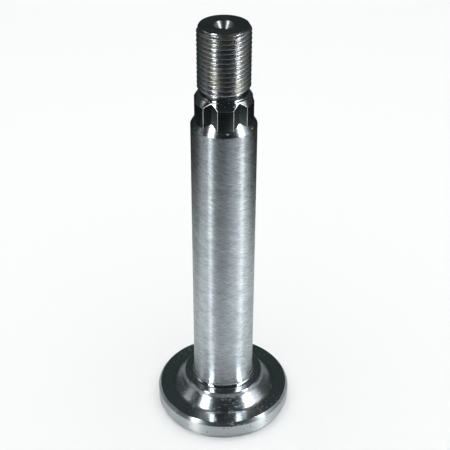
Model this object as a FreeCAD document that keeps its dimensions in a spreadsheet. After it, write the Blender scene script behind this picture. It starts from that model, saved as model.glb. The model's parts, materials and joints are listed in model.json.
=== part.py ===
"""Shaft of a mower deck spindle: one steel turning that stands on its blade flange, +Z up the axis.

From the bottom it has the flange that the blade is clamped against, a hollow cone up to the collar that the
lower bearing sits on, the long bearing journal, a six-point star that turns the pulley, a relief groove, and the
thread that takes the pulley nut. Sizes are in millimetres and degrees.
"""

import FreeCAD, Part
import os

import Sketcher

SIZES = {
    "flange_thickness": 6.65,
    "flange_face_width": 5.65,  # flat ring between the cone's foot and the rim
    "rim_top_chamfer_width": 0.8,
    "rim_top_chamfer_height": 1.25,
    "rim_bottom_chamfer_width": 0.7,
    "rim_bottom_chamfer_height": 1.75,
    "cone_height": 3.65,  # from the flange face up to the collar
    "cone_slope": 45,  # above the flange face
    "cone_foot_radius": 1.8,  # hollow blend from the cone into the flange face
    "cone_top_radius": 2,  # hollow blend from the cone into the collar's upright side
    "collar_height": 1.4,  # from the top of the cone up to the bearing shoulder
    "shoulder_width": 3.2,  # ring that the lower bearing's inner race stands on
    "shoulder_fillet": 1.5,
    "journal_diameter": 20,
    "journal_length": 95.8,
    "taper_slope": 30,  # from the axis, at the top of the journal
    "taper_step": 0.95,  # from the journal in to the star's points
    "star_length": 10,  # from the top of the journal to the top of the star
    "star_points": 6,
    "star_groove_span": 30,  # angle across the mouth of one groove
    "star_groove_depth": 0.95,
    "star_rim_step": 0.1,  # from the grooves' floor in to the star's top edge
    "lead_in_slope": 30,  # from the axis, at the top of the star
    "relief_width": 1.6,
    "relief_depth": 0.74,  # below the thread's crests and the star's top edge
    "relief_fillet": 0.6,
    "thread_diameter": 15.875,
    "thread_length": 19.4,
    "thread_end_step": 0.7,
    "thread_end_chamfer": 1.2,
    "bolt_hole_diameter": 8.5,
    "bolt_hole_depth": 30,
    "bolt_hole_countersink": 0.8,
    "drill_point_angle": 118,
    "centre_hole_diameter": 6,
    "centre_hole_angle": 60,
    "centre_pilot_diameter": 2.5,
    "centre_pilot_length": 3,
}

# Radii and heights that follow from the sizes, as formulas of the sheet's cells
JOURNAL_RADIUS = "Sizes.journal_diameter / 2"
COLLAR_RADIUS = f"({JOURNAL_RADIUS} + Sizes.shoulder_width)"
CONE_FOOT = f"({COLLAR_RADIUS} + Sizes.cone_height / tan(Sizes.cone_slope * 1 deg))"
FLANGE_RADIUS = f"({CONE_FOOT} + Sizes.flange_face_width)"
STAR_RADIUS = f"({JOURNAL_RADIUS} - Sizes.taper_step)"
FLOOR_RADIUS = f"({STAR_RADIUS} - Sizes.star_groove_depth)"
STAR_RIM_RADIUS = f"({FLOOR_RADIUS} - Sizes.star_rim_step)"
THREAD_RADIUS = "Sizes.thread_diameter / 2"
RELIEF_RADIUS = f"(min({THREAD_RADIUS}; {STAR_RIM_RADIUS}) - Sizes.relief_depth)"

FLANGE_TOP = "Sizes.flange_thickness"
CONE_TOP = f"({FLANGE_TOP} + Sizes.cone_height)"
SHOULDER = f"({CONE_TOP} + Sizes.collar_height)"
JOURNAL_TOP = f"({SHOULDER} + Sizes.journal_length)"
STAR_TOP = f"({JOURNAL_TOP} + Sizes.star_length)"
THREAD_START = f"({STAR_TOP} + Sizes.relief_width)"
SHAFT_TOP = f"({THREAD_START} + Sizes.thread_length)"

doc = FreeCAD.newDocument("mower_deck_spindle")
sheet = doc.addObject("Spreadsheet::Sheet", "Sizes")
for row, (alias, value) in enumerate(SIZES.items(), start=1):
    sheet.set(f"A{row}", alias)
    sheet.set(f"B{row}", str(value))
    sheet.setAlias(f"B{row}", alias)
doc.recompute()


def worked_out(formula):
    """The number that a formula of the sheet's cells gives now."""
    return float(sheet.evalExpression(formula))


def new_sketch(name, role):
    """An empty sketch on one of the body's own origin planes."""
    sketch = body.newObject("Sketcher::SketchObject", name)
    plane = next(feature for feature in body.Origin.OriginFeatures if feature.Role == role)
    sketch.AttachmentSupport = [(plane, "")]
    sketch.MapMode = "FlatFace"
    return sketch


def hold_corner(sketch, line, across, along):
    """Ties the start of a line to its two formulas, or to an axis where a formula is a plain 0."""
    for kind, formula, axis in (("DistanceX", across, -2), ("DistanceY", along, -1)):
        if formula == "0":
            sketch.addConstraint(Sketcher.Constraint("PointOnObject", line, 1, axis))
            continue
        place = worked_out(formula)
        number = sketch.addConstraint(Sketcher.Constraint(kind, -1, 1, line, 1, place))
        sketch.setExpression(f"Constraints[{number}]", formula)


def draw_outline(name, role, corners):
    """A closed outline of straight lines, its corners given as formulas across and along the sketch."""
    sketch = new_sketch(name, role)
    places = [FreeCAD.Vector(worked_out(across), worked_out(along), 0) for across, along in corners]
    ends = places[1:] + places[:1]
    for start, end in zip(places, ends):
        sketch.addGeometry(Part.LineSegment(start, end), False)
    count = len(corners)
    for line in range(count):
        sketch.addConstraint(Sketcher.Constraint("Coincident", line, 2, (line + 1) % count, 1))
    for line, (across, along) in enumerate(corners):
        hold_corner(sketch, line, across, along)
    return sketch


def turn(kind, name, corners):
    """Turns an outline of radii and heights once round the shaft's axis, as metal added or taken away."""
    sketch = draw_outline(f"{name}_outline", "XZ_Plane", corners)
    feature = body.newObject(f"PartDesign::{kind}", name)
    feature.Profile = sketch
    feature.ReferenceAxis = (sketch, ["V_Axis"])
    feature.Angle = 360
    doc.recompute()
    return feature


def round_corner(name, radius, height, size):
    """Rolls a fillet into the turned corner at a radius and a height."""
    base = body.Tip
    wanted_radius = worked_out(radius)
    wanted_height = worked_out(height)
    found = []
    for number, edge in enumerate(base.Shape.Edges, start=1):
        if not isinstance(edge.Curve, Part.Circle):
            continue
        off_radius = abs(edge.Curve.Radius - wanted_radius)
        off_height = abs(edge.Curve.Center.z - wanted_height)
        if max(off_radius, off_height) < 1e-6:
            found.append(f"Edge{number}")
    if not found:
        raise RuntimeError(f"{name}: no turned corner at that radius and height")
    fillet = body.newObject("PartDesign::Fillet", name)
    fillet.Base = (base, found)
    fillet.setExpression("Radius", size)
    doc.recompute()


def must_cut(before, name):
    """Stops if the feature just made took no metal away."""
    if not body.Shape.Volume < before:
        raise RuntimeError(f"{name} cut nothing")


body = doc.addObject("PartDesign::Body", "SpindleShaft")
body.Label = "spindle_shaft"
body.Placement = FreeCAD.Placement()

# Upper end as turned, before milling: the star's blank, the relief groove and the bar for the thread
lead_in_bottom = f"({STAR_TOP} - ({STAR_RADIUS} - {STAR_RIM_RADIUS}) / tan(Sizes.lead_in_slope * 1 deg))"
turn(
    "Revolution",
    "upper_end",
    [
        ("0", JOURNAL_TOP),
        (STAR_RADIUS, JOURNAL_TOP),
        (STAR_RADIUS, lead_in_bottom),
        (STAR_RIM_RADIUS, STAR_TOP),
        (RELIEF_RADIUS, STAR_TOP),
        (RELIEF_RADIUS, THREAD_START),
        (THREAD_RADIUS, f"({THREAD_START} + {THREAD_RADIUS} - {RELIEF_RADIUS})"),
        (THREAD_RADIUS, f"({SHAFT_TOP} - Sizes.thread_end_chamfer)"),
        (f"({THREAD_RADIUS} - Sizes.thread_end_step)", SHAFT_TOP),
        ("0", SHAFT_TOP),
    ],
)

# One shallow V groove of the star, milled along the axis, then repeated round the shaft.
# Half its mouth reaches from the groove's middle, on +X, to the edge of a point.
mouth_across = f"({STAR_RADIUS} * cos(Sizes.star_groove_span / 2 * 1 deg))"
mouth_half = f"({STAR_RADIUS} * sin(Sizes.star_groove_span / 2 * 1 deg))"
outside = f"({STAR_RADIUS} + Sizes.star_groove_depth)"
groove_sketch = draw_outline(
    "star_groove_outline",
    "XY_Plane",
    [
        (FLOOR_RADIUS, "0"),
        (mouth_across, f"-{mouth_half}"),
        (outside, f"-{mouth_half}"),
        (outside, mouth_half),
        (mouth_across, mouth_half),
    ],
)
blank_volume = body.Shape.Volume
groove = body.newObject("PartDesign::Pocket", "star_groove")
groove.Profile = groove_sketch
groove.Type = "Length"
groove.Reversed = True
groove.setExpression("Length", STAR_TOP)
doc.recompute()
must_cut(blank_volume, "star_groove")

one_groove_volume = body.Shape.Volume
star = body.newObject("PartDesign::PolarPattern", "star")
star.Originals = [groove]
star.Axis = (groove_sketch, ["N_Axis"])
star.Angle = 360
star.setExpression("Occurrences", "Sizes.star_points")
body.Tip = star
doc.recompute()
must_cut(one_groove_volume, "star")

# Flange, cone, collar, journal and the taper above it, which also closes the lower end of each groove
core_radius = f"({STAR_RIM_RADIUS} - Sizes.star_rim_step)"
taper_top = f"({JOURNAL_TOP} + ({JOURNAL_RADIUS} - {core_radius}) / tan(Sizes.taper_slope * 1 deg))"
turn(
    "Revolution",
    "flange_and_journal",
    [
        ("0", "0"),
        (f"({FLANGE_RADIUS} - Sizes.rim_bottom_chamfer_width)", "0"),
        (FLANGE_RADIUS, "Sizes.rim_bottom_chamfer_height"),
        (FLANGE_RADIUS, f"({FLANGE_TOP} - Sizes.rim_top_chamfer_height)"),
        (f"({FLANGE_RADIUS} - Sizes.rim_top_chamfer_width)", FLANGE_TOP),
        (CONE_FOOT, FLANGE_TOP),
        (COLLAR_RADIUS, CONE_TOP),
        (COLLAR_RADIUS, SHOULDER),
        (JOURNAL_RADIUS, SHOULDER),
        (JOURNAL_RADIUS, JOURNAL_TOP),
        (core_radius, taper_top),
        ("0", taper_top),
    ],
)

round_corner("cone_foot", CONE_FOOT, FLANGE_TOP, "Sizes.cone_foot_radius")
round_corner("cone_top", COLLAR_RADIUS, CONE_TOP, "Sizes.cone_top_radius")
round_corner("journal_foot", JOURNAL_RADIUS, SHOULDER, "Sizes.shoulder_fillet")
round_corner("relief_foot", RELIEF_RADIUS, STAR_TOP, "Sizes.relief_fillet")

# Tapped hole for the blade bolt, up into the flange, at its tapping size
bolt_sketch = new_sketch("bolt_hole_place", "XY_Plane")
bolt_radius = "Sizes.bolt_hole_diameter / 2"
bolt_circle = Part.Circle(FreeCAD.Vector(0, 0, 0), FreeCAD.Vector(0, 0, 1), worked_out(bolt_radius))
bolt_sketch.addGeometry(bolt_circle, False)
bolt_sketch.addConstraint(Sketcher.Constraint("Coincident", 0, 3, -1, 1))
bolt_size = bolt_sketch.addConstraint(Sketcher.Constraint("Radius", 0, worked_out(bolt_radius)))
bolt_sketch.setExpression(f"Constraints[{bolt_size}]", bolt_radius)
doc.recompute()
solid_volume = body.Shape.Volume
bolt_hole = body.newObject("PartDesign::Hole", "bolt_hole")
bolt_hole.Profile = bolt_sketch
bolt_hole.Reversed = True
bolt_hole.Threaded = False
bolt_hole.DepthType = "Dimension"
bolt_hole.DrillPoint = "Angled"
bolt_hole.HoleCutType = "Countersink"
bolt_hole.HoleCutCountersinkAngle = 90
bolt_hole.setExpression("Diameter", "Sizes.bolt_hole_diameter")
bolt_hole.setExpression("Depth", "Sizes.bolt_hole_depth")
bolt_hole.setExpression("DrillPointAngle", "Sizes.drill_point_angle")
bolt_hole.setExpression("HoleCutDiameter", "Sizes.bolt_hole_diameter + 2 * Sizes.bolt_hole_countersink")
doc.recompute()
must_cut(solid_volume, "bolt_hole")

# Lathe centre hole in the top end
drilled_volume = body.Shape.Volume
pilot_radius = "Sizes.centre_pilot_diameter / 2"
half_cone = "tan(Sizes.centre_hole_angle / 2 * 1 deg)"
cone_bottom = f"({SHAFT_TOP} - (Sizes.centre_hole_diameter / 2 - {pilot_radius}) / {half_cone})"
pilot_bottom = f"({cone_bottom} - Sizes.centre_pilot_length)"
drill_tip = f"({pilot_bottom} - {pilot_radius} / tan(Sizes.drill_point_angle / 2 * 1 deg))"
turn(
    "Groove",
    "centre_hole",
    [
        ("0", SHAFT_TOP),
        ("Sizes.centre_hole_diameter / 2", SHAFT_TOP),
        (pilot_radius, cone_bottom),
        (pilot_radius, pilot_bottom),
        ("0", drill_tip),
    ],
)
must_cut(drilled_volume, "centre_hole")

for item in doc.Objects:
    if "Invalid" in item.State or "Error" in item.State:
        raise RuntimeError(f"{item.Name} did not build: {item.State}")
shape = body.Shape
if shape.isNull() or not shape.isValid() or len(shape.Solids) != 1:
    raise RuntimeError("the shaft is not one valid solid")

os.makedirs("parts", exist_ok=True)
shape.exportStep(f"parts/{body.Label}.step")
box = shape.BoundBox
print(f"{body.Label}: {box.XLength:.2f} x {box.YLength:.2f} x {box.ZLength:.2f} mm, {shape.Volume:.0f} mm3")
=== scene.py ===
import json
from math import atan2, cos, degrees, exp, pi, radians, sin, tan

import bmesh
import bpy
from mathutils import Matrix, Vector


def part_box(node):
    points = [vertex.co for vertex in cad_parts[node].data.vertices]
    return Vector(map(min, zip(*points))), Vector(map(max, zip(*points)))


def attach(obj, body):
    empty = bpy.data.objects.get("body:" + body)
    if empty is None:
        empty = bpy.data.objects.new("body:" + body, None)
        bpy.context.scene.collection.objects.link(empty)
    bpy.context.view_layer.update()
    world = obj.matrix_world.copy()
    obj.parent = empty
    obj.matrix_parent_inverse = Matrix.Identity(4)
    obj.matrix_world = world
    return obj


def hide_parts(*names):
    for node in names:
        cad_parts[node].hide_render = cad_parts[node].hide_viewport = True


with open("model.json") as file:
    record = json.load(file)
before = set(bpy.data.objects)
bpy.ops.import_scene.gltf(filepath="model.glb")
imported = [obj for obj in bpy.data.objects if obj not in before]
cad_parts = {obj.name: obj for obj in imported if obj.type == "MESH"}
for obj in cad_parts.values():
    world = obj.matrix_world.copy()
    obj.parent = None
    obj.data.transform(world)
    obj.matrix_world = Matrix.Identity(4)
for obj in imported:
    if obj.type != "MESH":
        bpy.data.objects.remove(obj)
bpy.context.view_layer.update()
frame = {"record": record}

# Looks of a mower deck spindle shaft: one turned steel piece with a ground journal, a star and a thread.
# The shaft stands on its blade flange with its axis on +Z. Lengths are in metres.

MM = 0.001
INCH = 0.0254

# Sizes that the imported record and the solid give
MOUNTS = {mount["name"]: mount for mount in frame["record"]["mounts"]}
_, SHAFT_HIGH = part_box("spindle_shaft")


def mount_radius(name):
    """The radius that the record gives a mount."""
    return MOUNTS[name]["dims"]["r_mm"] * MM


FLANGE_RADIUS = min(SHAFT_HIGH[0], SHAFT_HIGH[1])
SHAFT_TOP = SHAFT_HIGH[2]
JOURNAL_RADIUS = mount_radius("bearing_journal")
SHOULDER = MOUNTS["bearing_shoulder"]["pos_m"][2]
THREAD_RADIUS = mount_radius("pulley_nut_thread")
BOLT_RADIUS = mount_radius("blade_bolt_hole")

# Flange and collar
FLANGE_THICKNESS = 6.65 * MM
RIM_TOP_WIDTH = 0.8 * MM
RIM_TOP_HEIGHT = 1.25 * MM
RIM_BOTTOM_WIDTH = 0.7 * MM
RIM_BOTTOM_HEIGHT = 1.75 * MM
COLLAR_RADIUS = JOURNAL_RADIUS + 3.2 * MM
COLLAR_HEIGHT = 1.4 * MM
CONE_SLOPE = radians(45)
CONE_TOP_RADIUS = 2.0 * MM
CONE_FOOT_RADIUS = 1.8 * MM
SHOULDER_FILLET = 1.5 * MM

# Journal, star and relief groove
JOURNAL_TOP = SHOULDER + 95.8 * MM
TAPER_SLOPE = radians(30)
STAR_POINTS = 6
STAR_RADIUS = JOURNAL_RADIUS - 0.95 * MM
STAR_FLOOR = STAR_RADIUS - 0.95 * MM
STAR_RIM = STAR_FLOOR - 0.1 * MM
STAR_TOP = JOURNAL_TOP + 10 * MM
STAR_GROOVE_SPAN = radians(30)
LEAD_IN_SLOPE = radians(30)
RELIEF_RADIUS = THREAD_RADIUS - 0.74 * MM
RELIEF_FILLET = 0.6 * MM

# Thread and holes
THREAD_START = STAR_TOP + 1.6 * MM
THREAD_PITCH = INCH / 18
THREAD_DEPTH = 0.6134 * THREAD_PITCH
THREAD_CREST_SHARE = 1 / 8  # flat of the crest and of the root, as shares of the pitch
THREAD_ROOT_SHARE = 1 / 6
THREAD_UNROLLED = 2.0  # a thread's length along its flanks against its height
THREAD_END_RADIUS = THREAD_RADIUS - 0.7 * MM
THREAD_END_CHAMFER = 1.2 * MM
BOLT_DEPTH = 30 * MM
BOLT_COUNTERSINK = 0.8 * MM
DRILL_POINT = radians(118)
CENTRE_RADIUS = 3 * MM
CENTRE_CONE = radians(60)
CENTRE_PILOT_RADIUS = 1.25 * MM
CENTRE_PILOT_LENGTH = 3 * MM

EDGE_BREAK = 0.12 * MM  # how far a turned edge is rounded off
STAR_EDGE_BREAK = 0.10 * MM
STAR_RIM_BREAK = 0.15 * MM
COLLAR_EDGE_BREAK = 0.15 * MM
SHARP_ANGLE = radians(22)  # a steeper fold is an edge, a gentler one is shaded smooth
CURVE_STEPS = 12  # facets along each curve of the flange's top
FOOT_STEPS = 10  # and along the fillet at the journal's foot
SEGMENTS = 192  # facets round the shaft, a multiple of the star's half points and half grooves
MERGE = 1e-7
AXIS_GUARD = 1e-5  # the smallest radius that a finish divides by
QUARTER_TURN = 0.25

# Camera, by its place against the shaft's axis
CAMERA_AZIMUTH = radians(-3.4)  # from -Y towards -X, which turns the star's near point to the right
CAMERA_REACH = 271.5 * MM
CAMERA_HEIGHT = 251.2 * MM
CAMERA_PITCH = radians(33.542)
CAMERA_YAW = radians(0.092)
CAMERA_ROLL = radians(0.203)
CLIP_START = 0.01
LENS_MM = 82.54
SENSOR_MM = 36

# The floor as the camera sees it, and where it goes over into an even background
FLOOR_SIZE = 8
FLOOR_GAP = 0.0001  # how far the floor lies under the blade face, and the reflected one over it
FLOOR_COLOUR = (0.94, 0.94, 0.94, 1)
FLOOR_EVEN_FROM = (0.2, 0.7)

# The floor as reflections see it, with its light and shade painted on: palest a hand's breadth off, a
# painted shadow of the flange, painted pools of lamp light at the sides, and dark further away
FLOOR_SHADE = 0.92
FLOOR_SHADE_FAR = 0.01
FLOOR_FLANGE_SHADE = 0.48
FLOOR_FLANGE_REACH = 0.06
FLOOR_FADE_FRONT = 0.110
FLOOR_FADE_BACK = 0.128
FLOOR_FADE_MORE = 0.065
FLOOR_FADE_POWER = 8  # how sharply it goes dark
FLOOR_BEHIND = (95, 150)  # azimuths between which the front goes over into the back
FLOOR_TINT = (1, 1.01, 1.02)
# distance from the axis by which the painted pools of lamp light reach full strength
FLOOR_LAMPLIT_FROM = 0.08
# painted pools of lamp light on the floor, at the sides of the lamps
FLOOR_LAMPLIT_SIDES = (  # azimuth of the middle from the camera's side, half width, and how much paler
    (-64, 50, 0.25),
    (62, 70, 0.55),
)

# The dark walls that reflections see: their colour on the camera's side and behind the shaft
WALL_REACH = 3.0
WALL_FRONT = (0.018, 0.024, 0.026)
WALL_BACK = (0.042, 0.054, 0.053)
# Pale cards on the walls: azimuth from the camera's side to the right, elevation, half width and
# half height in degrees, and radiance
PALE_CARDS = (
    (-93, 34, 14, 18, 1.7),
    (-115, 34, 34, 18, 0.10),
    (84, 34, 24, 18, 3.4),
    (112, 34, 36, 18, 0.17),
)

# The world's colour where the background itself isn't seen, and the white background
ROOM_COLOUR = (0.03, 0.04, 0.04, 1)
BACKGROUND_COLOUR = (1, 1, 1, 1)

# Soft boxes: azimuth from the camera's side to the right, elevation, width and height in degrees,
# and radiance
LIGHT_REACH = 0.7
LIGHTS = (
    ("soft_box_left", -47, 34, 12, 40, 14.0),
    ("soft_box_right", 66, 34, 12, 40, 14.0),
)
FILL_REACH = 1.3  # the lamp overhead, which lights the floor and isn't mirrored
FILL_SIZE = 3.6
FILL_RADIANCE = 1.6


# Outline of the turned shape

def rounded(corners, steps=4):
    """Radius and height points of an outline, with each corner rounded by its own radius."""
    points = []
    for number, (radius, height, size) in enumerate(corners):
        here = Vector((radius, height))
        if size == 0 or number in (0, len(corners) - 1):
            points.append(here)
            continue
        to_last = (Vector(corners[number - 1][:2]) - here).normalized()
        to_next = (Vector(corners[number + 1][:2]) - here).normalized()
        half = to_last.angle(to_next) / 2
        centre = here + (to_last + to_next).normalized() * size / sin(half)
        start = here + to_last * size / tan(half) - centre
        end = here + to_next * size / tan(half) - centre
        sweep = start.angle_signed(end)
        for step in range(steps + 1):
            turned = Matrix.Rotation(-sweep * step / steps, 2) @ start
            points.append(centre + turned)
    return points


def angle_of(segment):
    """The angle about the axis where a facet begins."""
    return 2 * pi * segment / SEGMENTS


def circle(radius, height):
    """A level ring of points round the axis."""
    turns = [angle_of(segment) for segment in range(SEGMENTS)]
    return [(radius * cos(turn), radius * sin(turn), height) for turn in turns]


def groove_radius(turn):
    """The star's radius at an angle: its points are round, and its grooves are shallow flat-sided Vs."""
    step = 2 * pi / STAR_POINTS
    off = abs((turn + step / 2) % step - step / 2)
    half = STAR_GROOVE_SPAN / 2
    if off >= half - MERGE:
        return STAR_RADIUS
    mouth_across = STAR_RADIUS * cos(half) - STAR_FLOOR
    mouth_half = STAR_RADIUS * sin(half)
    return STAR_FLOOR * mouth_half / (mouth_half * cos(off) - mouth_across * sin(off))


def taper_height(radius):
    """The height of the taper under the star at a radius."""
    return JOURNAL_TOP + (JOURNAL_RADIUS - radius) / tan(TAPER_SLOPE)


def lead_in_height(radius):
    """The height of the star's lead-in at a radius."""
    return STAR_TOP - (radius - STAR_RIM) / tan(LEAD_IN_SLOPE)


def star_ring(height_at):
    """A ring on the star's sides, at a height that follows from the radius there."""
    ring = []
    for segment in range(SEGMENTS):
        turn = angle_of(segment)
        radius = groove_radius(turn)
        ring.append((radius * cos(turn), radius * sin(turn), height_at(radius)))
    return ring


class Skin:
    """Rings of points laid one after another, with the finish of each band between two rings."""

    def __init__(self):
        self.mesh = bmesh.new()
        self.last = None
        self.along = 0.0
        self.unwrap = self.mesh.loops.layers.uv.new("OFBake")

    def face(self, corners, places, finish):
        """A face with its unwrapped places, unless its corners fall together."""
        if len(set(corners)) < 3:
            return
        kept = [at for at in range(len(corners)) if corners[at] is not corners[at - 1]]
        if len(kept) < 3:
            return
        made = self.mesh.faces.new([corners[at] for at in kept])
        made.smooth = True
        made.material_index = SLOT[finish]
        for loop, at in zip(made.loops, kept):
            loop[self.unwrap].uv = places[at]

    def start_at_tip(self, height):
        """Begins with a point on the axis."""
        self.last = [self.mesh.verts.new((0, 0, height))] * SEGMENTS

    def band(self, ring, finish):
        """Joins a new ring to the last one."""
        verts = [self.mesh.verts.new(place) for place in ring]
        length = max((new.co - old.co).length for new, old in zip(verts, self.last))
        for segment in range(SEGMENTS):
            after = (segment + 1) % SEGMENTS
            corners = (self.last[segment], self.last[after], verts[after], verts[segment])
            left = segment / SEGMENTS
            right = (segment + 1) / SEGMENTS
            low, high = self.along, self.along + length
            self.face(corners, ((left, low), (right, low), (right, high), (left, high)), finish)
        self.along += length
        self.last = verts

    def turn(self, points, finish):
        """Joins turned rings through radius and height points."""
        for point in points:
            self.band(circle(point[0], point[1]), finish)

    def end_at_tip(self, height, finish):
        """Closes the skin with a point on the axis."""
        tip = self.mesh.verts.new((0, 0, height))
        length = (tip.co - self.last[0].co).length
        for segment in range(SEGMENTS):
            after = (segment + 1) % SEGMENTS
            left = segment / SEGMENTS
            right = (segment + 1) / SEGMENTS
            places = ((left, self.along), (right, self.along), (right, self.along + length))
            self.face((self.last[segment], self.last[after], tip), places, finish)

    def thread(self, low, high, pitch, profile, radius_at, finish):
        """Joins a helix between two heights.

        profile gives the rows of one turn as shares of the pitch with a depth, and radius_at turns a depth
        and a height into a radius. Rows past an end lie on it, so the helix runs out of level end rings.
        """
        first = self.last
        turns_below = 2
        turns_above = 1
        turns = int((high - low) / pitch) + turns_below + turns_above
        rows = [
            (turn + share) * pitch - turns_below * pitch + low
            for turn in range(turns + 1)
            for share, _ in profile
        ]
        depths = [depth for _ in range(turns + 1) for _, depth in profile]
        ends = [None] * SEGMENTS
        grid = []
        for row, depth in zip(rows, depths):
            line = []
            for segment in range(SEGMENTS):
                height = row + pitch * segment / SEGMENTS
                if height <= low:
                    line.append(first[segment])
                    continue
                if height >= high:
                    if ends[segment] is None:
                        ends[segment] = self.mesh.verts.new(circle(radius_at(0, high), high)[segment])
                    line.append(ends[segment])
                    continue
                turn = angle_of(segment)
                radius = radius_at(depth, height)
                line.append(self.mesh.verts.new((radius * cos(turn), radius * sin(turn), height)))
            grid.append(line)
        per_turn = len(profile)
        for number in range(len(grid) - 1):
            for segment in range(SEGMENTS):
                wraps = segment + 1 == SEGMENTS
                shift = per_turn if wraps else 0
                if number + 1 + shift >= len(grid):
                    continue
                after = 0 if wraps else segment + 1
                corners = (
                    grid[number][segment],
                    grid[number + shift][after],
                    grid[number + 1 + shift][after],
                    grid[number + 1][segment],
                )
                shares = (segment, segment + 1, segment + 1, segment)
                places = [
                    (share / SEGMENTS, self.along + THREAD_UNROLLED * abs(corner.co.z - low))
                    for share, corner in zip(shares, corners)
                ]
                self.face(corners, places, finish)
        self.along += THREAD_UNROLLED * abs(high - low)
        self.last = ends


def thread_profile(depth, crest_share, root_share, ease=0.03):
    """Rows of one turn of a thread as (share of the pitch, depth), with its corners eased."""
    crest = crest_share / 2
    root = 0.5 - root_share / 2
    eased = depth * ease / (root - crest)
    half = ((crest - ease, 0.0), (crest + ease, eased), (root - ease, depth - eased), (root + ease, depth))
    return tuple((-share, level) for share, level in reversed(half)) + half


def round_star_edges(mesh):
    """Rounds off the outward edges of the star: round its upper end and along the mouths of its grooves.

    The rounded edges are as bright as the journal, not as dark as the star's sides.
    """
    edges = []
    for edge in mesh.edges:
        low, high = sorted(vert.co.z for vert in edge.verts)
        on_star = low > JOURNAL_TOP + EDGE_BREAK and high < STAR_TOP - EDGE_BREAK / 10
        if on_star and edge.calc_face_angle_signed() > SHARP_ANGLE:
            edges.append(edge)
    bmesh.ops.bevel(
        mesh,
        geom=edges,
        offset=STAR_EDGE_BREAK,
        offset_type="OFFSET",
        segments=3,
        profile=0.5,
        affect="EDGES",
        material=SLOT["ground_journal"],
    )


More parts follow.
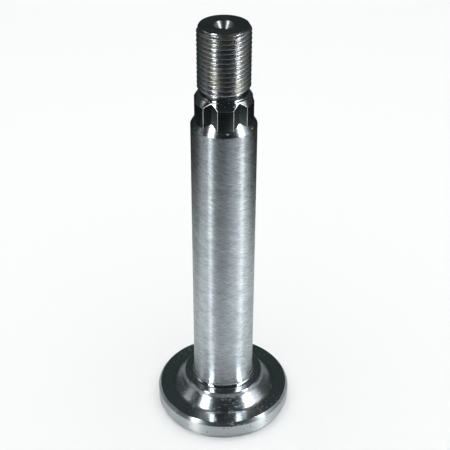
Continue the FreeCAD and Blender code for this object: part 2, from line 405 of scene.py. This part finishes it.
def build_shaft():
    """The whole shaft as one closed skin, from the bolt hole's end over the flange to the centre hole."""
    skin = Skin()
    bolt_tip = BOLT_DEPTH + BOLT_RADIUS / tan(DRILL_POINT / 2)
    skin.start_at_tip(bolt_tip)
    skin.turn([(BOLT_RADIUS, BOLT_DEPTH), (BOLT_RADIUS, BOLT_COUNTERSINK)], "dull_cut_steel")

    underside = rounded(
        [
            (BOLT_RADIUS, BOLT_COUNTERSINK, 0),
            (BOLT_RADIUS + BOLT_COUNTERSINK, 0, EDGE_BREAK),
            (FLANGE_RADIUS - RIM_BOTTOM_WIDTH, 0, EDGE_BREAK),
            (FLANGE_RADIUS, RIM_BOTTOM_HEIGHT, 0),
        ]
    )
    skin.turn(underside[1:-1], "faced_underside")
    rim = rounded(
        [
            (FLANGE_RADIUS - RIM_BOTTOM_WIDTH, 0, 0),
            (FLANGE_RADIUS, RIM_BOTTOM_HEIGHT, EDGE_BREAK),
            (FLANGE_RADIUS, FLANGE_THICKNESS - RIM_TOP_HEIGHT, EDGE_BREAK),
            (FLANGE_RADIUS - RIM_TOP_WIDTH, FLANGE_THICKNESS, 0),
        ]
    )
    skin.turn(rim[1:-1], "turned_rim")
    cone_top = SHOULDER - COLLAR_HEIGHT
    cone_foot = COLLAR_RADIUS + (cone_top - FLANGE_THICKNESS) / tan(CONE_SLOPE)
    flange_top = rounded(
        [
            (FLANGE_RADIUS, FLANGE_THICKNESS - RIM_TOP_HEIGHT, 0),
            (FLANGE_RADIUS - RIM_TOP_WIDTH, FLANGE_THICKNESS, EDGE_BREAK),
            (cone_foot, FLANGE_THICKNESS, CONE_FOOT_RADIUS),
            (COLLAR_RADIUS, cone_top, CONE_TOP_RADIUS),
            (COLLAR_RADIUS, SHOULDER, 0),
        ],
        steps=CURVE_STEPS,
    )
    ring_end = CURVE_STEPS + 3  # past the outline's start, the rounded outer edge and the flat ring
    skin.turn(flange_top[1:2], "turned_bevels")
    skin.turn(flange_top[2:ring_end], "turned_faces")
    skin.turn(flange_top[ring_end:-1], "turned_bevels")
    collar = rounded(
        [
            (COLLAR_RADIUS, cone_top, 0),
            (COLLAR_RADIUS, SHOULDER, COLLAR_EDGE_BREAK),
            (JOURNAL_RADIUS, SHOULDER, 0),
        ]
    )
    skin.turn(collar[1:-1], "turned_faces")
    journal_foot = rounded(
        [
            (COLLAR_RADIUS, SHOULDER, 0),
            (JOURNAL_RADIUS, SHOULDER, SHOULDER_FILLET),
            (JOURNAL_RADIUS, JOURNAL_TOP, 0),
        ],
        steps=FOOT_STEPS,
    )
    skin.turn(journal_foot[1:-1], "turned_faces")
    skin.turn([(JOURNAL_RADIUS, JOURNAL_TOP)], "ground_journal")

    skin.band(star_ring(taper_height), "turned_bevels")
    skin.band(star_ring(lead_in_height), "milled_star")
    lead_in_foot = STAR_RIM + (STAR_TOP - JOURNAL_TOP) * tan(LEAD_IN_SLOPE)
    relief = rounded(
        [
            (lead_in_foot, JOURNAL_TOP, 0),
            (STAR_RIM, STAR_TOP, STAR_RIM_BREAK),
            (RELIEF_RADIUS, STAR_TOP, RELIEF_FILLET),
            (RELIEF_RADIUS, THREAD_START, 0),
        ]
    )
    skin.turn(relief[1:], "turned_faces")

    def thread_radius(depth, height):
        """The radius at a depth under the crest, with the thread's run-in and its chamfered end."""
        cut = THREAD_RADIUS - depth
        run_in = RELIEF_RADIUS + (height - THREAD_START)
        chamfer_slope = (THREAD_RADIUS - THREAD_END_RADIUS) / THREAD_END_CHAMFER
        run_out = THREAD_END_RADIUS + (SHAFT_TOP - height) * chamfer_slope
        floor = THREAD_END_RADIUS - (SHAFT_TOP - height)
        return max(min(cut, run_in, run_out), min(floor, run_out))

    profile = thread_profile(THREAD_DEPTH, THREAD_CREST_SHARE, THREAD_ROOT_SHARE)
    skin.thread(THREAD_START, SHAFT_TOP, THREAD_PITCH, profile, thread_radius, "cut_thread")
    pilot_top = SHAFT_TOP - (CENTRE_RADIUS - CENTRE_PILOT_RADIUS) / tan(CENTRE_CONE / 2)
    pilot_end = pilot_top - CENTRE_PILOT_LENGTH
    skin.turn([(CENTRE_RADIUS, SHAFT_TOP)], "dull_cut_steel")
    skin.turn([(CENTRE_PILOT_RADIUS, pilot_top), (CENTRE_PILOT_RADIUS, pilot_end)], "dull_cut_steel")
    skin.end_at_tip(pilot_end - CENTRE_PILOT_RADIUS / tan(DRILL_POINT / 2), "dull_cut_steel")

    bmesh.ops.dissolve_degenerate(skin.mesh, dist=MERGE, edges=skin.mesh.edges)
    skin.mesh.normal_update()
    round_star_edges(skin.mesh)
    skin.mesh.normal_update()
    for edge in skin.mesh.edges:
        in_thread = all(face.material_index == SLOT["cut_thread"] for face in edge.link_faces)
        edge.smooth = in_thread or edge.calc_face_angle() < SHARP_ANGLE
    for face in skin.mesh.faces:
        for loop in face.loops:
            loop[skin.unwrap].uv.y /= skin.along
    data = bpy.data.meshes.new("spindle_shaft_steel")
    skin.mesh.to_mesh(data)
    skin.mesh.free()
    shaft = bpy.data.objects.new("spindle_shaft_steel", data)
    bpy.context.scene.collection.objects.link(shaft)
    return shaft


# Node helpers

# Sockets of a Mix node that blends colours
MIX_SHARE = 0
MIX_FIRST = 6
MIX_SECOND = 7
MIX_RESULT = 2


def add_node(tree, kind, values=None, **settings):
    """A new node: settings are its own properties, values its inputs by name or number."""
    made = tree.nodes.new(kind)
    for name, value in settings.items():
        setattr(made, name, value)
    for name, value in (values or {}).items():
        if isinstance(value, bpy.types.NodeSocket):
            tree.links.new(value, made.inputs[name])
        else:
            made.inputs[name].default_value = value
    return made


def maths(tree, operation, *values):
    """The result of one sum."""
    return add_node(tree, "ShaderNodeMath", dict(enumerate(values)), operation=operation).outputs[0]


def spread(tree, value, low, high, to_low=0.0, to_high=1.0):
    """A value brought from one range to another and held there."""
    values = {"Value": value, "From Min": low, "From Max": high, "To Min": to_low, "To Max": to_high}
    return add_node(tree, "ShaderNodeMapRange", values).outputs["Result"]


def blend(tree, share, first, second):
    """A colour between two others."""
    values = {MIX_SHARE: share, MIX_FIRST: first, MIX_SECOND: second}
    return add_node(tree, "ShaderNodeMix", values, data_type="RGBA").outputs[MIX_RESULT]


def weigh(tree, first, first_weight, second, second_weight):
    """The sum of two values, each times its own weight."""
    first_part = maths(tree, "MULTIPLY", first, first_weight)
    second_part = maths(tree, "MULTIPLY", second, second_weight)
    return maths(tree, "ADD", first_part, second_part)


def new_group(name, inputs, outputs):
    """A shader node group with named values in and out."""
    tree = bpy.data.node_groups.new(name, "ShaderNodeTree")
    for label, value in inputs.items():
        socket = tree.interface.new_socket(label, in_out="INPUT", socket_type="NodeSocketFloat")
        socket.default_value = value
    for label in outputs:
        tree.interface.new_socket(label, in_out="OUTPUT", socket_type="NodeSocketFloat")
    given = tree.nodes.new("NodeGroupInput")
    return tree, given.outputs


def close_group(tree, values):
    """Puts a node group's values out."""
    add_node(tree, "NodeGroupOutput", values)


def round_the_shaft(tree):
    """Cosine and sine of the angle about the axis, then radius and height in millimetres."""
    place = add_node(tree, "ShaderNodeTexCoord").outputs["Object"]
    axes = add_node(tree, "ShaderNodeSeparateXYZ", {0: place}).outputs
    level = add_node(tree, "ShaderNodeCombineXYZ", {"X": axes["X"], "Y": axes["Y"], "Z": 0.0}).outputs[0]
    length = add_node(tree, "ShaderNodeVectorMath", {0: level}, operation="LENGTH").outputs["Value"]
    radius = maths(tree, "MAXIMUM", length, AXIS_GUARD)
    across = maths(tree, "DIVIDE", axes["X"], radius)
    along = maths(tree, "DIVIDE", axes["Y"], radius)
    return across, along, maths(tree, "DIVIDE", radius, MM), maths(tree, "DIVIDE", axes["Z"], MM)


def place_in_mm(tree):
    """The shaded point, in millimetres."""
    place = add_node(tree, "ShaderNodeTexCoord").outputs["Object"]
    scale = (1 / MM, 1 / MM, 1 / MM)
    return add_node(tree, "ShaderNodeVectorMath", {0: place, 1: scale}, operation="MULTIPLY").outputs[0]


def noise_4d(tree, x, y, z, w, detail, roughness):
    """Noise that runs over four values."""
    place = add_node(tree, "ShaderNodeCombineXYZ", {"X": x, "Y": y, "Z": z}).outputs[0]
    values = {"Vector": place, "W": w, "Scale": 1.0, "Detail": detail, "Roughness": roughness}
    return add_node(tree, "ShaderNodeTexNoise", values, noise_dimensions="4D").outputs[0]


# How the marks on the steel are spread
SCRATCH_WANDER = 3.0  # how fast scratches change on their way round
PIT_PATCHES_PER_MM = 0.16
PIT_SMALLEST = 0.45  # against the largest
PIT_EDGE = 0.35  # share of a pit's reach over which it deepens
FILM_LOWEST = 0.3  # level of the noise over which a full film lies, and how far it rises for none
FILM_RANGE = 0.4
FILM_EDGE = 0.06


def make_turning_lines():
    """Fine lines that a tool or wheel leaves round the axis. Wander is how fast they change on the way."""
    tree, given = new_group("turning_lines", {"Lines per mm": 3.0, "Wander": 2.0}, ("Line",))
    across, along, radius, height = round_the_shaft(tree)
    density = given["Lines per mm"]
    line = noise_4d(
        tree,
        maths(tree, "MULTIPLY", radius, density),
        maths(tree, "MULTIPLY", height, density),
        maths(tree, "MULTIPLY", across, given["Wander"]),
        maths(tree, "MULTIPLY", along, given["Wander"]),
        detail=3.0,
        roughness=0.65,
    )
    close_group(tree, {"Line": spread(tree, line, 0.3, 0.7)})
    return tree


def make_slanting_scratches():
    """Scratches that wind up the shaft. Their rise is in millimetres of height for each radian of turn."""
    inputs = {"Rise": 4.0, "Fineness": 30.0, "Length": 0.2}
    tree, given = new_group("slanting_scratches", inputs, ("Scratch",))
    across, along, _, height = round_the_shaft(tree)
    wound = maths(tree, "DIVIDE", height, given["Rise"])
    turn_cos = maths(tree, "COSINE", wound)
    turn_sin = maths(tree, "SINE", wound)
    lead = weigh(tree, across, turn_cos, along, turn_sin)
    along_part = maths(tree, "MULTIPLY", along, turn_cos)
    across_part = maths(tree, "MULTIPLY", across, turn_sin)
    lag = maths(tree, "SUBTRACT", along_part, across_part)
    scratch = noise_4d(
        tree,
        maths(tree, "MULTIPLY", lead, given["Fineness"]),
        maths(tree, "MULTIPLY", lag, given["Fineness"]),
        maths(tree, "MULTIPLY", height, given["Length"]),
        maths(tree, "MULTIPLY", across, SCRATCH_WANDER),
        detail=2.0,
        roughness=0.6,
    )
    close_group(tree, {"Scratch": spread(tree, scratch, 0.35, 0.65)})
    return tree


def make_pits():
    """Small pits and dust specks, scattered singly and thicker in patches."""
    tree, given = new_group("pits", {"Per mm": 1.2, "Size": 0.2, "Share": 0.4}, ("Pit",))
    place = place_in_mm(tree)
    cells = add_node(tree, "ShaderNodeTexVoronoi", {"Vector": place, "Scale": given["Per mm"]})
    patch_values = {"Vector": place, "Scale": PIT_PATCHES_PER_MM, "Detail": 2.0}
    patch = add_node(tree, "ShaderNodeTexNoise", patch_values)
    lot = add_node(tree, "ShaderNodeSeparateColor", {0: cells.outputs["Color"]}).outputs
    chance = maths(tree, "MULTIPLY", given["Share"], spread(tree, patch.outputs[0], 0.42, 0.62, 0.1, 1.6))
    chosen = maths(tree, "LESS_THAN", lot[0], chance)
    reach = maths(tree, "MULTIPLY", given["Size"], spread(tree, lot[1], 0.0, 1.0, PIT_SMALLEST, 1.0))
    inside = maths(tree, "SUBTRACT", 1.0, maths(tree, "DIVIDE", cells.outputs["Distance"], reach))
    soft = spread(tree, inside, 0.0, PIT_EDGE)
    close_group(tree, {"Pit": maths(tree, "MULTIPLY", chosen, soft)})
    return tree


def make_film():
    """Patches of an oil film or stain."""
    tree, given = new_group("film", {"Per mm": 0.15, "Cover": 0.5}, ("Film",))
    place = place_in_mm(tree)
    values = {"Vector": place, "Scale": given["Per mm"], "Detail": 4.0, "Roughness": 0.6}
    patch = add_node(tree, "ShaderNodeTexNoise", values).outputs[0]
    level = maths(tree, "SUBTRACT", 1.0, given["Cover"])
    edge_level = maths(tree, "ADD", maths(tree, "MULTIPLY", level, FILM_RANGE), FILM_LOWEST)
    over = maths(tree, "SUBTRACT", patch, edge_level)
    close_group(tree, {"Film": spread(tree, over, -FILM_EDGE, FILM_EDGE)})
    return tree


TURNING_LINES = make_turning_lines()
SLANTING_SCRATCHES = make_slanting_scratches()
PITS = make_pits()
FILM = make_film()


def use_group(tree, group, output, **values):
    """One output of a node group, with its inputs set by their names in lower case."""
    made = add_node(tree, "ShaderNodeGroup", node_tree=group)
    for name, value in values.items():
        made.inputs[name.replace("_", " ").capitalize()].default_value = value
    return made.outputs[output]


def blank_material(name):
    """A material with no nodes yet."""
    material = bpy.data.materials.new(name)
    material.use_nodes = True
    material.node_tree.nodes.clear()
    return material


def finish_steel(material, colour, roughness, bump, anisotropy):
    """Ends a steel material: metal whose highlight is drawn out across the turning lines."""
    tree = material.node_tree
    around = add_node(tree, "ShaderNodeTangent", direction_type="RADIAL", axis="Z").outputs[0]
    values = {
        "Base Color": colour,
        "Metallic": 1.0,
        "Roughness": roughness,
        "Anisotropic": anisotropy,
        "Anisotropic Rotation": QUARTER_TURN,
        "Normal": bump,
        "Tangent": around,
    }
    shader = add_node(tree, "ShaderNodeBsdfPrincipled", values)
    add_node(tree, "ShaderNodeOutputMaterial", {"Surface": shader.outputs[0]})
    return material


def bump_from(tree, height_mm):
    """A normal from a height in millimetres."""
    values = {"Strength": 1.0, "Distance": MM, "Height": height_mm}
    return add_node(tree, "ShaderNodeBump", values).outputs[0]


def ground_journal():
    """Steel ground on a wheel and crossed by a slanting polish: a soft sheen full of fine lines."""
    material = blank_material("ground_journal")
    tree = material.node_tree
    level = use_group(tree, TURNING_LINES, "Line", lines_per_mm=2.2, wander=4.0)
    broad = use_group(tree, TURNING_LINES, "Line", lines_per_mm=0.3, wander=0.8)
    falling = use_group(tree, SLANTING_SCRATCHES, "Scratch", rise=-5.0, fineness=11.0, length=0.5)
    rising = use_group(tree, SLANTING_SCRATCHES, "Scratch", rise=5.0, fineness=12.0, length=0.5)
    slanting = weigh(tree, falling, 0.65, rising, 0.35)
    marks = weigh(tree, level, 0.5, slanting, 0.5)
    mixed = weigh(tree, marks, 0.8, broad, 0.2)
    flecks = spread(tree, mixed, 0.35, 0.85)
    colour = blend(tree, flecks, (0.47, 0.52, 0.555, 1), (0.84, 0.91, 0.945, 1))
    roughness = spread(tree, marks, 0.0, 1.0, 0.26, 0.31)
    height = weigh(tree, level, 0.004, slanting, 0.009)
    return finish_steel(material, colour, roughness, bump_from(tree, height), anisotropy=1.0)


def turned_faces():
    """The flange's ring, the collar and the relief groove: smoothly turned, with a few pits."""
    material = blank_material("turned_faces")
    tree = material.node_tree
    lines = use_group(tree, TURNING_LINES, "Line", lines_per_mm=6.0, wander=1.5)
    pits = use_group(tree, PITS, "Pit", per_mm=1.3, size=0.26, share=0.6)
    film = use_group(tree, FILM, "Film", per_mm=0.12, cover=0.4)
    clean = blend(tree, lines, (0.50, 0.53, 0.54, 1), (0.60, 0.62, 0.63, 1))
    oiled = blend(tree, maths(tree, "MULTIPLY", film, 0.3), clean, (0.42, 0.47, 0.46, 1))
    colour = blend(tree, pits, oiled, (0.75, 0.77, 0.78, 1))
    smooth = spread(tree, lines, 0.0, 1.0, 0.15, 0.19)
    roughness = maths(tree, "ADD", smooth, maths(tree, "MULTIPLY", pits, 0.4))
    height = weigh(tree, lines, 0.0002, pits, -0.02)
    return finish_steel(material, colour, roughness, bump_from(tree, height), anisotropy=1.0)


def turned_rim():
    """The flange's rim: satin turned steel with plain tool lines and small dents, painted dark as the shade
    in them.
    """
    material = blank_material("turned_rim")
    tree = material.node_tree
    lines = use_group(tree, TURNING_LINES, "Line", lines_per_mm=5.0, wander=1.0)
    pits = use_group(tree, PITS, "Pit", per_mm=0.9, size=0.3, share=0.35)
    clean = blend(tree, lines, (0.73, 0.79, 0.80, 1), (0.83, 0.88, 0.89, 1))
    # the dents are painted dark, as shade in them
    colour = blend(tree, pits, clean, (0.16, 0.17, 0.18, 1))
    roughness = spread(tree, lines, 0.0, 1.0, 0.30, 0.36)
    height = weigh(tree, lines, 0.0015, pits, -0.03)
    return finish_steel(material, colour, roughness, bump_from(tree, height), anisotropy=1.0)


def turned_bevels():
    """The flange's bevel and cone and the taper under the star: turned a little duller than the faces."""
    material = blank_material("turned_bevels")
    tree = material.node_tree
    lines = use_group(tree, TURNING_LINES, "Line", lines_per_mm=6.0, wander=1.5)
    pits = use_group(tree, PITS, "Pit", per_mm=1.3, size=0.32, share=0.9)
    clean = blend(tree, lines, (0.38, 0.42, 0.44, 1), (0.47, 0.51, 0.53, 1))
    colour = blend(tree, pits, clean, (0.90, 0.92, 0.93, 1))
    smooth = spread(tree, lines, 0.0, 1.0, 0.26, 0.30)
    roughness = maths(tree, "ADD", smooth, maths(tree, "MULTIPLY", pits, 0.5))
    height = weigh(tree, lines, 0.0002, pits, -0.04)
    return finish_steel(material, colour, roughness, bump_from(tree, height), anisotropy=0.86)


def cut_thread():
    """Cut thread: bright crests and flanks under patches of brown oil."""
    material = blank_material("cut_thread")
    tree = material.node_tree
    lines = use_group(tree, TURNING_LINES, "Line", lines_per_mm=6.0, wander=1.5)
    film = use_group(tree, FILM, "Film", per_mm=0.22, cover=0.4)
    clean = blend(tree, lines, (0.42, 0.44, 0.46, 1), (0.54, 0.56, 0.58, 1))
    colour = blend(tree, maths(tree, "MULTIPLY", film, 0.5), clean, (0.29, 0.27, 0.18, 1))
    worn = spread(tree, lines, 0.0, 1.0, 0.20, 0.28)
    roughness = maths(tree, "ADD", worn, maths(tree, "MULTIPLY", film, 0.08))
    height = maths(tree, "MULTIPLY", lines, 0.0002)
    return finish_steel(material, colour, roughness, bump_from(tree, height), anisotropy=0.4)


def milled_star():
    """The star's points and grooves: smooth formed steel with a thin oil film."""
    material = blank_material("milled_star")
    tree = material.node_tree
    lines = use_group(tree, TURNING_LINES, "Line", lines_per_mm=3.0, wander=9.0)
    film = use_group(tree, FILM, "Film", per_mm=0.3, cover=0.5)
    clean = blend(tree, lines, (0.34, 0.40, 0.41, 1), (0.45, 0.51, 0.52, 1))
    colour = blend(tree, maths(tree, "MULTIPLY", film, 0.3), clean, (0.28, 0.33, 0.32, 1))
    roughness = spread(tree, lines, 0.0, 1.0, 0.12, 0.2)
    height = maths(tree, "MULTIPLY", lines, 0.0008)
    return finish_steel(material, colour, roughness, bump_from(tree, height), anisotropy=0.3)


def dull_cut_steel():
    """Steel cut and left dull: the top end's face and the holes."""
    material = blank_material("dull_cut_steel")
    tree = material.node_tree
    lines = use_group(tree, TURNING_LINES, "Line", lines_per_mm=5.0, wander=3.0)
    colour = blend(tree, lines, (0.17, 0.18, 0.19, 1), (0.27, 0.28, 0.29, 1))
    roughness = spread(tree, lines, 0.0, 1.0, 0.30, 0.44)
    height = maths(tree, "MULTIPLY", lines, 0.002)
    return finish_steel(material, colour, roughness, bump_from(tree, height), anisotropy=0.3)


def faced_underside():
    """The blade face: faced on the lathe, with plain rings of feed lines."""
    material = blank_material("faced_underside")
    tree = material.node_tree
    lines = use_group(tree, TURNING_LINES, "Line", lines_per_mm=2.5, wander=0.6)
    film = use_group(tree, FILM, "Film", per_mm=0.1, cover=0.4)
    clean = blend(tree, lines, (0.48, 0.50, 0.51, 1), (0.62, 0.63, 0.64, 1))
    colour = blend(tree, maths(tree, "MULTIPLY", film, 0.3), clean, (0.38, 0.37, 0.33, 1))
    roughness = spread(tree, lines, 0.0, 1.0, 0.24, 0.36)
    height = maths(tree, "MULTIPLY", lines, 0.004)
    return finish_steel(material, colour, roughness, bump_from(tree, height), anisotropy=0.6)


# Finishes of the shaft, in the order of its material slots
FINISHES = {
    "ground_journal": ground_journal,
    "turned_faces": turned_faces,
    "turned_rim": turned_rim,
    "turned_bevels": turned_bevels,
    "cut_thread": cut_thread,
    "milled_star": milled_star,
    "dull_cut_steel": dull_cut_steel,
    "faced_underside": faced_underside,
}
SLOT = {name: number for number, name in enumerate(FINISHES)}


# Stage

def place_camera():
    """The camera, turned about the shaft and then aimed by its pitch, yaw and roll."""
    camera = bpy.data.objects.new("camera", bpy.data.cameras.new("camera"))
    camera.data.lens = LENS_MM
    camera.data.sensor_width = SENSOR_MM
    camera.data.clip_start = CLIP_START
    about = Matrix.Rotation(CAMERA_AZIMUTH, 4, "Z")
    stand = Matrix.Translation((0, -CAMERA_REACH, CAMERA_HEIGHT))
    aim = (
        Matrix.Rotation(-CAMERA_YAW, 4, "Z")
        @ Matrix.Rotation(pi / 2 - CAMERA_PITCH, 4, "X")
        @ Matrix.Rotation(CAMERA_ROLL, 4, "Z")
    )
    camera.matrix_world = about @ stand @ aim
    bpy.context.scene.collection.objects.link(camera)
    bpy.context.scene.camera = camera


def place_light(name, azimuth, elevation, reach, width, height, radiance):
    """A soft box of some width and height in metres, aimed at the shaft."""
    light = bpy.data.lights.new(name, "AREA")
    light.shape = "ELLIPSE"
    light.size = width
    light.size_y = height
    area = width * height * pi / 4
    light.energy = radiance * pi * area
    box = bpy.data.objects.new(name, light)
    turn = CAMERA_AZIMUTH + radians(azimuth)
    rise = radians(elevation)
    away = Vector((sin(turn) * cos(rise), -cos(turn) * cos(rise), sin(rise)))
    box.location = away * reach + Vector((0, 0, SHAFT_TOP / 2))
    box.rotation_euler = away.to_track_quat("Z", "Y").to_euler()
    box.visible_camera = False
    bpy.context.scene.collection.objects.link(box)
    return box


def background_rays(tree):
    """One where the background itself is seen: by the camera, in a mirror or through glass."""
    path = add_node(tree, "ShaderNodeLightPath").outputs
    clear = maths(tree, "MAXIMUM", path["Is Glossy Ray"], path["Is Transmission Ray"])
    return maths(tree, "MAXIMUM", path["Is Camera Ray"], clear)


def lay_floor():
    """A pale floor with the shaft's shadow, which goes over into an even background away from the shaft."""
    bpy.ops.mesh.primitive_plane_add(size=FLOOR_SIZE, location=(0, 0, -FLOOR_GAP))
    floor = bpy.context.object
    floor.name = "floor"
    material = blank_material("pale_floor")
    tree = material.node_tree
    place = add_node(tree, "ShaderNodeTexCoord").outputs["Object"]
    distance = add_node(tree, "ShaderNodeVectorMath", {0: place}, operation="LENGTH").outputs["Value"]
    far = maths(tree, "MULTIPLY", spread(tree, distance, *FLOOR_EVEN_FROM), background_rays(tree))
    lit = add_node(tree, "ShaderNodeBsdfDiffuse", {"Color": FLOOR_COLOUR}).outputs[0]
    even = add_node(tree, "ShaderNodeEmission", {"Color": FLOOR_COLOUR, "Strength": 1.0}).outputs[0]
    surface = add_node(tree, "ShaderNodeMixShader", {0: far, 1: lit, 2: even}).outputs[0]
    add_node(tree, "ShaderNodeOutputMaterial", {"Surface": surface})
    floor.data.materials.append(material)


def apart(azimuth, middle):
    """The angle between two azimuths in degrees."""
    return abs((azimuth - middle + 180) % 360 - 180)


def floor_shade(distance, azimuth):
    """How pale the floor looks in the steel at a distance and at an azimuth from the camera's side, as
    painted light and shade: a shadow of the flange and pools of lamp light at the sides.
    """
    begins, ends = FLOOR_BEHIND
    behind = min(max((apart(azimuth, 0) - begins) / (ends - begins), 0), 1)
    fade = FLOOR_FADE_FRONT + (FLOOR_FADE_BACK - FLOOR_FADE_FRONT) * behind
    level = FLOOR_SHADE
    for middle, half_width, painted_light in FLOOR_LAMPLIT_SIDES:
        side = apart(azimuth, middle)
        if side < half_width:
            share = (1 + cos(pi * side / half_width)) / 2
            fade += FLOOR_FADE_MORE * share
            # a painted pool of lamp light
            level += painted_light * share * min(1, (distance / FLOOR_LAMPLIT_FROM) ** 2)
    # a painted shadow of the flange
    level *= 1 - FLOOR_FLANGE_SHADE * exp(-(distance / FLOOR_FLANGE_REACH) ** 2)
    return FLOOR_SHADE_FAR + level / (1 + (distance / fade) ** FLOOR_FADE_POWER)


def stand_stage_piece(name, mesh, shader_kind):
    """A piece of the stage that only reflections see, in the colours that its mesh carries as "shade"."""
    data = bpy.data.meshes.new(name)
    mesh.to_mesh(data)
    mesh.free()
    piece = bpy.data.objects.new(name, data)
    bpy.context.scene.collection.objects.link(piece)
    material = blank_material(name)
    tree = material.node_tree
    colour = add_node(tree, "ShaderNodeAttribute", attribute_name="shade").outputs["Color"]
    shader = add_node(tree, shader_kind, {"Color": colour})
    add_node(tree, "ShaderNodeOutputMaterial", {"Surface": shader.outputs[0]})
    data.materials.append(material)
    piece.visible_camera = False
    piece.visible_diffuse = False
    piece.visible_shadow = False
    return piece


def join_rings(mesh, grid):
    """Faces between each ring of points and the next."""
    for ring, next_ring in zip(grid, grid[1:]):
        for step in range(len(ring)):
            after = (step + 1) % len(ring)
            mesh.faces.new((ring[step], next_ring[step], next_ring[after], ring[after]))


def lay_reflected_floor():
    """A floor with painted light and shade that only reflections see, so that the steel has a dark room
    round it.
    """
    growth = 1.25
    ring_count = 30
    rings = [FLANGE_RADIUS / 2 * growth ** step for step in range(ring_count)]
    steps = 96
    mesh = bmesh.new()
    shade = mesh.loops.layers.float_color.new("shade")
    grid = []
    for radius in rings:
        turns = [2 * pi * step / steps for step in range(steps)]
        grid.append([mesh.verts.new((radius * cos(turn), radius * sin(turn), 0)) for turn in turns])
    join_rings(mesh, grid)
    for face in mesh.faces:
        for loop in face.loops:
            place = loop.vert.co
            azimuth = degrees(atan2(place.y, place.x)) + 90 - degrees(CAMERA_AZIMUTH)
            level = floor_shade(place.length, azimuth)
            loop[shade] = (*(level * tint for tint in FLOOR_TINT), 1)
    stand_stage_piece("reflected_floor", mesh, "ShaderNodeBsdfDiffuse").location.z = FLOOR_GAP


def wall_light(azimuth, elevation):
    """The light that comes off the walls in one direction, as a colour.

    Near the floor, the colour of the camera's side goes over into that of the back from 60 to 120 degrees.
    """
    towards_camera = cos(radians(azimuth)) * cos(radians(elevation))
    behind = min(max(0.5 - towards_camera, 0), 1)
    card = 0.0
    for middle, height, half_width, half_height, radiance in PALE_CARDS:
        across = apart(azimuth, middle) / half_width
        upright = abs(elevation - height) / half_height
        if across < 1 and upright < 1:
            card += radiance * (1 + cos(pi * across)) * (1 + cos(pi * upright)) / 4
    return [front + (back - front) * behind + card for front, back in zip(WALL_FRONT, WALL_BACK)]


def raise_walls():
    """Dark walls with soft pale cards, which only reflections see, before the white background."""
    steps = 120
    rises = 30
    mesh = bmesh.new()
    shade = mesh.loops.layers.float_color.new("shade")
    places = {}
    grid = []
    for level in range(rises):
        elevation = 90 * level / rises
        row = []
        for step in range(steps):
            azimuth = 360 * step / steps
            turn = CAMERA_AZIMUTH + radians(azimuth)
            flat = WALL_REACH * cos(radians(elevation))
            rise = WALL_REACH * sin(radians(elevation))
            row.append(mesh.verts.new((flat * sin(turn), -flat * cos(turn), rise)))
            places[row[-1]] = (azimuth, elevation)
        grid.append(row)
    join_rings(mesh, grid)
    mesh.faces.new(grid[-1])
    for face in mesh.faces:
        for loop in face.loops:
            loop[shade] = (*wall_light(*places[loop.vert]), 1)
    stand_stage_piece("dark_walls", mesh, "ShaderNodeEmission")


def light_room():
    """A white background, and soft boxes that light the shaft inside its dark walls."""
    world = bpy.data.worlds.new("studio")
    world.use_nodes = True
    bpy.context.scene.world = world
    tree = world.node_tree
    tree.nodes.clear()
    colour = blend(tree, background_rays(tree), ROOM_COLOUR, BACKGROUND_COLOUR)
    background = add_node(tree, "ShaderNodeBackground", {"Color": colour, "Strength": 1.0})
    add_node(tree, "ShaderNodeOutputWorld", {"Surface": background.outputs[0]})

    for name, azimuth, elevation, width, height, radiance in LIGHTS:
        across = 2 * LIGHT_REACH * tan(radians(width) / 2)
        upright = 2 * LIGHT_REACH * tan(radians(height) / 2)
        box = place_light(name, azimuth, elevation, LIGHT_REACH, across, upright, radiance)
        box.visible_diffuse = False
    fill = place_light("overhead_fill", 0, 90, FILL_REACH, FILL_SIZE, FILL_SIZE, FILL_RADIANCE)
    fill.visible_glossy = False


shaft = build_shaft()
for make_finish in FINISHES.values():
    shaft.data.materials.append(make_finish())
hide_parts("spindle_shaft")
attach(shaft, "root")

place_camera()
lay_floor()
lay_reflected_floor()
raise_walls()
light_room()

bpy.context.scene.view_settings.view_transform = "Standard"
